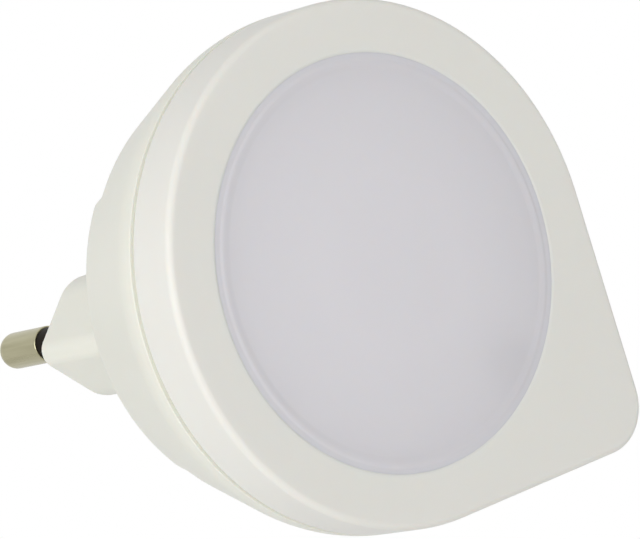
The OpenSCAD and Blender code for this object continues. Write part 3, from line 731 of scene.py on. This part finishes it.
# %% [markdown]
# ## Pins and sleeves
# The two pins are one turned shape in two places, and so are their sleeves. Spinning and copying each by hand
# would make four meshes to keep alike. A Geometry Nodes tree sweeps a profile round a circle instead, and
# sets the result on both places. The profile is a curve that the script draws. The pitch, the spindle's
# radius and the number of sides are the tree's named inputs.

# %% Turned pairs
SLEEVE_START, SLEEVE_END = side_of("left_sleeve", 1, min), side_of("left_sleeve", 1, max)
SLEEVE_R, SLEEVE_BORE = 1.825, 1.52
SLEEVE_LIP, SLEEVE_EDGE = 1.77, 0.06    # the sleeve's bevelled end: its radius, and the bevel's length
CUP_END, PIN_END = side_of("left_pin", 1, min), side_of("left_pin", 1, max)
PIN_R, CORE_R, COLLAR_R = 2.0, 1.5, side_of("left_pin", 2, max)
COLLAR_T = 1.5                       # thickness of the collar that the clamp holds
SOLDER_R, SOLDER_DEEP = 0.65, 2.0    # the solder cup at the pin's back end
SHOULDER_R, TIP_R = 0.12, 1.5        # roundings beside the sleeve and at the tip
STRAIGHT_START = 0.3                 # from the sleeve's end to the pin's first full ring
TIP_FLAT = 0.4                       # radius of the last ring on the tip's small flat


def pair_tree(material):
    """A tree that turns a profile curve and sets it on two places along x."""
    tree = bpy.data.node_groups.new("turned_pair", "GeometryNodeTree")
    face = tree.interface
    face.new_socket("Geometry", in_out="INPUT", socket_type="NodeSocketGeometry")
    for name, kind in (("Pitch", "NodeSocketFloat"), ("Spindle", "NodeSocketFloat"),
                       ("Sides", "NodeSocketInt")):
        face.new_socket(name, in_out="INPUT", socket_type=kind)
    face.new_socket("Geometry", in_out="OUTPUT", socket_type="NodeSocketGeometry")
    nodes = Nodes(tree)
    given = tree.nodes.new("NodeGroupInput")
    profile, pitch, spindle, sides = (Wire(nodes, socket) for socket in given.outputs[:4])
    circle = nodes.add("GeometryNodeCurvePrimitiveCircle", {}, {"Resolution": sides, "Radius": spindle})
    turned = nodes.add("GeometryNodeCurveToMesh", {}, {0: circle, 1: profile})
    closed = nodes.add("GeometryNodeMergeByDistance", {}, {"Geometry": turned, "Distance": 1e-6})
    laid = nodes.add("GeometryNodeTransform", {}, {"Geometry": closed, "Rotation": (-math.pi / 2, 0, 0)})
    half = nodes.add("ShaderNodeCombineXYZ", {}, {0: pitch * -0.5})
    step = nodes.add("ShaderNodeCombineXYZ", {}, {0: pitch})
    places = nodes.add("GeometryNodeMeshLine", {}, {"Count": 2, "Start Location": half, "Offset": step})
    pair = nodes.add("GeometryNodeInstanceOnPoints", {}, {"Points": places, "Instance": laid})
    real = nodes.add("GeometryNodeRealizeInstances", {}, {0: pair})
    painted = nodes.add("GeometryNodeSetMaterial", {}, {0: real, "Material": material})
    nodes.add("NodeGroupOutput", {}, {0: painted})
    return tree


def turned_pair(name, profile, material, pitch=2 * PIN_X * MM, spindle=1 * MM, sides=72):
    """Two turned pieces in one mesh, from a profile of (radius, y) points in millimetres."""
    line = bpy.data.curves.new(name + "_profile", "CURVE")
    line.dimensions = "3D"
    strand = line.splines.new("POLY")
    strand.points.add(len(profile) - 1)
    for point, (radius, y) in zip(strand.points, profile):
        point.co = (radius * MM - spindle, -y * MM, 0, 1)
    drawn = bpy.data.objects.new(name + "_profile", line)
    bpy.context.scene.collection.objects.link(drawn)
    work = drawn.modifiers.new("turn", "NODES")
    work.node_group = pair_tree(material)
    names = {item.name: item.identifier for item in work.node_group.interface.items_tree
             if item.in_out == "INPUT"}
    work[names["Pitch"]], work[names["Spindle"]], work[names["Sides"]] = pitch, spindle, sides
    shape = bpy.data.meshes.new_from_object(drawn.evaluated_get(bpy.context.evaluated_depsgraph_get()))
    bpy.data.objects.remove(drawn)
    tidy(shape, 32)
    piece = bpy.data.objects.new(name, shape)
    bpy.context.scene.collection.objects.link(piece)
    return piece


def pin_profile():
    """(radius, y) from the solder cup inside the neck to the round tip."""
    collar, cup = SLEEVE_START - COLLAR_T, CUP_END + SOLDER_DEEP
    start = [(0, cup), (SOLDER_R, cup), (SOLDER_R, CUP_END), (CORE_R, CUP_END), (CORE_R, collar),
             (COLLAR_R, collar), (COLLAR_R, SLEEVE_START), (CORE_R, SLEEVE_START), (CORE_R, SLEEVE_END),
             (PIN_R - SHOULDER_R - BESIDE_FINE, SLEEVE_END)]
    shoulder = arc(PIN_R - SHOULDER_R, SLEEVE_END + SHOULDER_R, SHOULDER_R, -90, 0, 4)
    straight = [(PIN_R, SLEEVE_END + STRAIGHT_START), (PIN_R, PIN_END - TIP_R - BESIDE)]
    tip = arc(PIN_R - TIP_R, PIN_END - TIP_R, TIP_R, 0, 90, 12)
    return start + shoulder + straight + tip + [(TIP_FLAT, PIN_END), (0, PIN_END)]


def sleeve_profile():
    """(radius, y) round a sleeve, both ends and the bore included."""
    return [(SLEEVE_BORE, SLEEVE_START), (SLEEVE_R, SLEEVE_START), (SLEEVE_R, SLEEVE_END - SLEEVE_EDGE),
            (SLEEVE_LIP, SLEEVE_END), (SLEEVE_BORE, SLEEVE_END), (SLEEVE_BORE, SLEEVE_START)]


pins = turned_pair("pins", pin_profile(), pin_metal)
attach(pins, "root")
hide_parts("left_pin", "right_pin")
sleeves = turned_pair("sleeves", sleeve_profile(), sleeve_black)
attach(sleeves, "root")
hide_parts("left_sleeve", "right_sleeve")
print("Pin and sleeve faces:", len(pins.data.polygons), len(sleeves.data.polygons))

# %% [markdown]
# ## Inside pieces
# Behind the lens are a white tray, a white board with its light chips and the mains parts, and the leads. The
# closed casing hides them, so new meshes would add nothing. The CAD model's pieces stay as they are and get
# finishes alone: moulded or dipped parts, plated screws and insulated leads.

# %% Inside finishes
METAL_MARKS = 1800    # cells to a metre


def metal(name, light, dark, roughness=0.3, stretch=(1, 1, 1)):
    """Plated or drawn metal with fine marks."""
    material, nodes, shader = new_finish(name)
    marks = nodes.noise(METAL_MARKS, 3, stretch=stretch)
    wire_up(nodes, shader, Base_Color=nodes.mix(marks, dark, light), Metallic=1.0,
            Roughness=roughness + marks * 0.15, Normal=nodes.bump(marks, 0.003 * MM))
    return material


inside = {
    "reflector_tray": moulded("tray_white", paint(240, 240, 238), paint(234, 234, 232), 0.6, 0.01),
    "sensor_shade": moulded("shade_black", paint(34, 34, 34), paint(26, 26, 26), 0.6, 0.01),
    "dusk_sensor": moulded("sensor_amber", paint(150, 92, 40), paint(122, 70, 28), 0.12, 0.0),
    "light_chips": moulded("chip_phosphor", paint(244, 222, 120), paint(238, 206, 92), 0.5, 0.004),
    "circuit_board": moulded("board_white", paint(236, 238, 232), paint(228, 231, 224), 0.3, 0.006),
    "board_screws": metal("screw_steel", paint(205, 206, 208), paint(176, 178, 182)),
    "dropper_capacitor": moulded("film_red", paint(150, 52, 34), paint(128, 40, 26), 0.2, 0.02),
    "smoothing_capacitor": moulded("can_blue", paint(32, 40, 88), paint(24, 30, 72), 0.25, 0.0),
    "bridge_rectifier": moulded("moulding_black", paint(44, 44, 46), paint(34, 34, 36), 0.55, 0.015),
    "fuse_resistor": moulded("resistor_green", paint(96, 138, 110), paint(82, 122, 96), 0.5, 0.02),
    "bleed_resistor": moulded("resistor_tan", paint(206, 176, 132), paint(192, 160, 116), 0.4, 0.01),
    "chip_resistors": moulded("resistor_black", paint(46, 46, 50), paint(36, 36, 40), 0.3, 0.0),
    "zener_diode": moulded("diode_glass", paint(216, 120, 60), paint(200, 100, 44), 0.08, 0.0),
    "left_lead": moulded("lead_brown", paint(112, 70, 46), paint(98, 60, 38), 0.45, 0.01),
    "right_lead": moulded("lead_blue", paint(52, 92, 176), paint(42, 80, 160), 0.45, 0.01),
    "clamp_plate": moulded("clamp_grey", paint(196, 196, 194), paint(186, 186, 184), 0.5, 0.01),
}
inside["clamp_screw"] = inside["board_screws"]
inside["switch_transistor"] = inside["bridge_rectifier"]
for name, material in inside.items():
    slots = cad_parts[name].data.materials
    slots.clear()
    slots.append(material)
print("Inside finishes:", len(inside))

# %% [markdown]
# ## Floor and backdrop
# The light hangs in a socket, so the floor lies some way below it and only catches its shadow. Close under
# the light the floor is plain pale paint. Lamps that turned all of it white would wash out the casing too. So
# further out it turns to plain white for the camera, for reflections and for what shows through clear pieces,
# and the view ends in white without more light on the object.

# %% Floor
FLOOR_SIZE, FLOOR_Z = 2.0, -0.09        # half the floor's width, and its height, in metres
PALE_END, WHITE_START = 0.05, 0.12      # metres out at which pale paint ends and plain white starts
FLOOR_CLOUD = 30                        # cells to a metre in the paint's slow drift


def floor_material():
    material = bpy.data.materials.new("floor_pale")
    material.use_nodes = True
    nodes = Nodes(material.node_tree)
    material.node_tree.nodes.clear()
    path = material.node_tree.nodes.new("ShaderNodeLightPath")
    ray = {name: Wire(nodes, path.outputs[name])
           for name in ("Is Camera Ray", "Is Glossy Ray", "Is Transmission Ray")}
    seen = nodes.add("ShaderNodeMath", {"operation": "MAXIMUM"},
                     {0: ray["Is Camera Ray"], 1: ray["Is Glossy Ray"]})
    seen = nodes.add("ShaderNodeMath", {"operation": "MAXIMUM"}, {0: seen, 1: ray["Is Transmission Ray"]})
    away = nodes.add("ShaderNodeVectorMath", {"operation": "LENGTH"}, {0: nodes.place()}, out=1)
    far = nodes.add("ShaderNodeMapRange", {"interpolation_type": "SMOOTHSTEP"},
                    {0: away, 1: PALE_END, 2: WHITE_START})
    cloud = nodes.noise(FLOOR_CLOUD, 2)
    paintwork = nodes.add("ShaderNodeBsdfDiffuse", {}, {"Color": nodes.mix(
        cloud, paint(249, 249, 249), paint(252, 252, 252))})
    white = nodes.add("ShaderNodeEmission", {}, {"Color": (1, 1, 1, 1), "Strength": 1.0})
    mixed = nodes.add("ShaderNodeMixShader", {}, {0: seen * far, 1: paintwork, 2: white})
    nodes.add("ShaderNodeOutputMaterial", {}, {"Surface": mixed})
    return material


def floor_mesh(size, height, cells=24):
    """A level sheet of square cells below the light."""
    steps = np.linspace(-size, size, cells + 1)
    points = [(x, y, height) for y in steps for x in steps]
    faces = ring_faces(cells + 1, cells + 1, closed=False)
    mesh = bpy.data.meshes.new("floor")
    mesh.from_pydata(points, [], faces)
    piece = bpy.data.objects.new("floor", mesh)
    bpy.context.scene.collection.objects.link(piece)
    mesh.materials.append(floor_material())
    return piece


floor = floor_mesh(FLOOR_SIZE, FLOOR_Z)
print("Floor at", floor.data.vertices[0].co.z)

# %% [markdown]
# ## Light
# The photograph's light comes from all round, as in a white tent, with more of it from the left of the camera
# and a little from the right. One world light alone would leave the casing flat, and lamps alone would leave
# it hard. So the world gives the light all round, two square lamps give the left side, one of them lower, and
# a faint one gives the right. Their levels were matched to the photograph's greys. Camera, reflections and
# clear pieces see the world as plain white.

# %% Light
WORLD_LEVEL = 0.56    # strength of the light all round
SOFT_BOXES = (("key_box", (-0.86, -0.53, 0.18), 0.7, 4.6),     # name, place in metres, size and watts
              ("low_box", (-0.8, -0.55, -0.02), 0.5, 2.4),
              ("right_box", (0.95, -0.3, 0.2), 0.6, 0.7))
LAMP_AIM = (0, -0.02, 0)    # metres, a place in the casing


def white_world(level):
    world = bpy.data.worlds.new("tent")
    bpy.context.scene.world = world
    world.use_nodes = True
    nodes = Nodes(world.node_tree)
    world.node_tree.nodes.clear()
    path = world.node_tree.nodes.new("ShaderNodeLightPath")
    seen = nodes.add("ShaderNodeMath", {"operation": "MAXIMUM"}, {
        0: Wire(nodes, path.outputs["Is Camera Ray"]), 1: Wire(nodes, path.outputs["Is Glossy Ray"])})
    seen = nodes.add("ShaderNodeMath", {"operation": "MAXIMUM"},
                     {0: seen, 1: Wire(nodes, path.outputs["Is Transmission Ray"])})
    strength = seen * (1 - level) + level
    sky = nodes.add("ShaderNodeBackground", {}, {"Color": (1, 1, 1, 1), "Strength": strength})
    nodes.add("ShaderNodeOutputWorld", {}, {"Surface": sky})


def soft_box(name, place, size, watts):
    """A square lamp that looks at the casing."""
    lamp = bpy.data.lights.new(name, "AREA")
    lamp.shape, lamp.size, lamp.energy = "SQUARE", size, watts
    box = bpy.data.objects.new(name, lamp)
    bpy.context.scene.collection.objects.link(box)
    aim = Vector(LAMP_AIM) - Vector(place)
    box.matrix_world = Matrix.Translation(place) @ aim.to_track_quat("-Z", "Y").to_matrix().to_4x4()
    return box


white_world(WORLD_LEVEL)
for name, place, size, watts in SOFT_BOXES:
    soft_box(name, place, size, watts)
print("World level", WORLD_LEVEL, "and boxes", len(SOFT_BOXES))

# %% [markdown]
# ## Camera
# The photograph fits a long lens at a little under half a metre, about 38 degrees round from the front and a
# little above, with the camera rolled so that the light leans. These angles were worked out from the outline
# of the casing and the plug, so that the render lies on the photograph. The shift moves the picture in its
# frame, as cropping does.

# %% Camera
AZIMUTH, RISE, ROLL = (math.radians(angle) for angle in (38.5, 4.3, 17.2))
DISTANCE = 0.455      # metres, from the middle of the front plane
SENSOR = 36.0         # millimetres, the camera's width of film
PHOTO_WIDTH = 640     # pixels
FOCAL = 4484          # pixels
CASING_SHIFT = (68.4, 7.2)   # pixels, from the picture's middle to the casing's, right and up


def look_from(azimuth, rise, roll, distance, aim):
    """A camera at this distance from the aim; azimuth goes round to the left, rise upwards."""
    camera = bpy.data.cameras.new("camera")
    camera.sensor_width, camera.lens = SENSOR, SENSOR * FOCAL / PHOTO_WIDTH
    camera.shift_x, camera.shift_y = (-shift / PHOTO_WIDTH for shift in CASING_SHIFT)
    camera.clip_start, camera.clip_end = 0.01, 20
    eye = bpy.data.objects.new("camera", camera)
    bpy.context.scene.collection.objects.link(eye)
    turn = (Matrix.Rotation(-azimuth, 4, "Z") @ Matrix.Rotation(math.pi / 2 - rise, 4, "X")
            @ Matrix.Rotation(-roll, 4, "Z"))
    eye.matrix_world = Matrix.Translation(aim) @ turn @ Matrix.Translation((0, 0, distance))
    bpy.context.scene.camera = eye


look_from(AZIMUTH, RISE, ROLL, DISTANCE, (0, -FRONT * MM, 0))
bpy.context.scene.view_settings.view_transform = "Standard"
print("Camera at", [round(c, 3) for c in bpy.context.scene.camera.matrix_world.translation])
